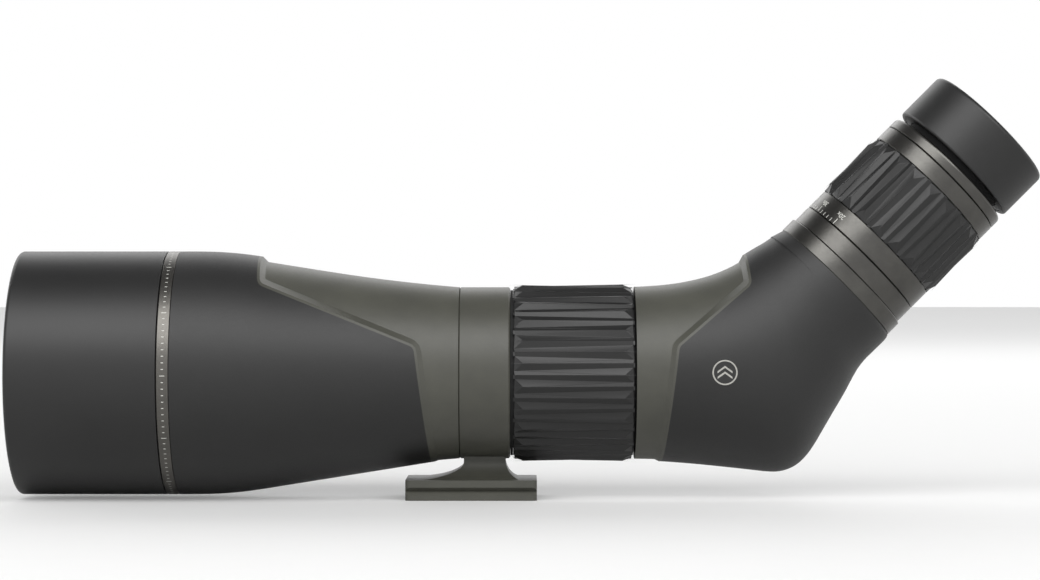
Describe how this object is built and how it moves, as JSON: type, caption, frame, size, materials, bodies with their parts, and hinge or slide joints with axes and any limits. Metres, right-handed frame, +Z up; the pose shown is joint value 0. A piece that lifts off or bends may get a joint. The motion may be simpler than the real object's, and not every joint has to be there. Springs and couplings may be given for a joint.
{
  "type": "spotting scope",
  "caption": "Angled zoom spotting scope with sliding sunshade, rubber-armoured body, rotating tripod collar on a dovetail foot, focus ring and twist-up eyecup.",
  "frame": {"origin": "mouth of the tripod thread, in the middle of the dovetail foot's underside", "axes": "+Z up, barrel along X with the objective towards -X, eyepiece rising at 45 degrees towards +X in the plane Y = 0"},
  "size_m": [0.4066, 0.1043, 0.1675],
  "materials": {
    "casting_olive": "matte",
    "armor_rubber": "matte",
    "grip_rubber": "matte",
    "cup_rubber": "matte",
    "gunmetal": "satin",
    "black_metal": "satin",
    "bright_band": "satin",
    "collar_olive": "satin",
    "inner_metal": "matte",
    "steel": "satin",
    "nylon": "matte",
    "knob_plastic": "matte",
    "badge_plate": "satin",
    "dot_paint": "satin",
    "seal_rubber": "matte",
    "felt": "matte",
    "coated_glass": "gloss",
    "prism_glass": "gloss"
  },
  "bodies": {
    "tripod_collar": {"collar_casting": "collar_olive", "dovetail_foot": "collar_olive", "collar_liner": "nylon", "thread_insert": "steel"},
    "lock_pad": {"lock_pad": "nylon"},
    "lock_knob": {"lock_knob": "knob_plastic", "lock_stud": "steel"},
    "scope_body": {"barrel_housing": "casting_olive", "front_armor": "armor_rubber", "trim_band": "bright_band", "objective_tube": "black_metal", "sunshade_felt": "felt", "objective_cell": "inner_metal", "objective_retaining_ring": "black_metal", "objective_front_lens": "coated_glass", "objective_spacer": "inner_metal", "objective_crown_lens": "coated_glass", "objective_flint_lens": "coated_glass", "baffles": "inner_metal", "center_tube": "inner_metal", "focus_seals": "seal_rubber", "collar_retaining_ring": "inner_metal", "prism_housing": "casting_olive", "rear_armor": "armor_rubber", "badge": "badge_plate", "erecting_prism": "prism_glass", "prism_cage": "inner_metal", "prism_clamp": "inner_metal", "prism_screws": "steel", "field_stop": "inner_metal", "eyepiece_mount_collar": "gunmetal", "eyepiece_body_tube": "inner_metal", "index_ring": "gunmetal", "zoom_index_dot": "dot_paint", "eyepiece_end_ring": "gunmetal", "eye_lens_cell": "inner_metal", "eye_lens_inner": "coated_glass", "eye_lens_outer": "coated_glass", "eye_retaining_ring": "black_metal"},
    "sunshade": {"sunshade_sleeve": "black_metal"},
    "focus_ring": {"focus_ring_core": "inner_metal", "focus_grip": "grip_rubber"},
    "focus_carriage": {"focus_cell": "inner_metal", "focus_lens": "coated_glass", "focus_retaining_ring": "inner_metal", "focus_drive_pin": "steel"},
    "zoom_ring": {"zoom_scale_ring": "gunmetal", "zoom_cam_sleeve": "inner_metal", "zoom_grip_core": "inner_metal", "zoom_grip": "grip_rubber", "zoom_rear_ring": "gunmetal"},
    "zoom_front_group": {"zoom_front_cell": "inner_metal", "zoom_front_lens": "coated_glass", "zoom_front_pin": "steel"},
    "zoom_rear_group": {"zoom_rear_cell": "inner_metal", "zoom_rear_lens": "coated_glass", "zoom_rear_pin": "steel"},
    "eyecup_carrier": {"eyecup_brake_ring": "nylon"},
    "eyecup": {"eyecup_sleeve": "black_metal", "eyecup_rubber": "cup_rubber"}
  },
  "joints": [
    {"name": "collar_turn", "type": "hinge", "parent": "tripod_collar", "child": "scope_body", "pos_m": [0.0053, 0, 0.05], "axis": [1, 0, 0], "continuous": true},
    {"name": "lock_slide", "type": "slide", "parent": "tripod_collar", "child": "lock_pad", "axis": [0, 1, 0], "range_m": [0, 0.00076]},
    {"name": "lock_turn", "type": "hinge", "parent": "lock_pad", "child": "lock_knob", "pos_m": [0.0053, 0.05, 0.05], "axis": [0, 1, 0], "range_deg": [0, 270]},
    {"name": "sunshade_slide", "type": "slide", "parent": "scope_body", "child": "sunshade", "axis": [-1, 0, 0], "range_m": [0, 0.042]},
    {"name": "focus_turn", "type": "hinge", "parent": "scope_body", "child": "focus_ring", "pos_m": [0.03975, 0, 0.05], "axis": [1, 0, 0], "range_deg": [-150, 150]},
    {"name": "focus_slide", "type": "slide", "parent": "scope_body", "child": "focus_carriage", "axis": [1, 0, 0], "range_m": [-0.006, 0.006]},
    {"name": "zoom_turn", "type": "hinge", "parent": "scope_body", "child": "zoom_ring", "pos_m": [0.17182, 0, 0.11272], "axis": [0.7071, 0, 0.7071], "range_deg": [-50, 46]},
    {"name": "zoom_front_slide", "type": "slide", "parent": "scope_body", "child": "zoom_front_group", "axis": [0.7071, 0, 0.7071], "range_m": [-0.0063, 0.0058]},
    {"name": "zoom_rear_slide", "type": "slide", "parent": "scope_body", "child": "zoom_rear_group", "axis": [0.7071, 0, 0.7071], "range_m": [-0.0039, 0.0042]},
    {"name": "eyecup_rise", "type": "slide", "parent": "scope_body", "child": "eyecup_carrier", "axis": [0.7071, 0, 0.7071], "range_m": [0, 0.008]},
    {"name": "eyecup_twist", "type": "hinge", "parent": "eyecup_carrier", "child": "eyecup", "pos_m": [0.19961, 0, 0.14051], "axis": [0.7071, 0, 0.7071], "range_deg": [0, 130]}
  ],
  "couplings": [
    {"joint": "lock_slide", "follows": "lock_turn", "m_per_rad": 0.00015915},
    {"joint": "focus_slide", "follows": "focus_turn", "m_per_rad": 0.0022918},
    {"joint": "zoom_front_slide", "follows": "zoom_turn", "m_per_rad": 0.007162},
    {"joint": "zoom_rear_slide", "follows": "zoom_turn", "m_per_rad": -0.0047746},
    {"joint": "eyecup_rise", "follows": "eyecup_twist", "m_per_rad": 0.0035258}
  ]
}
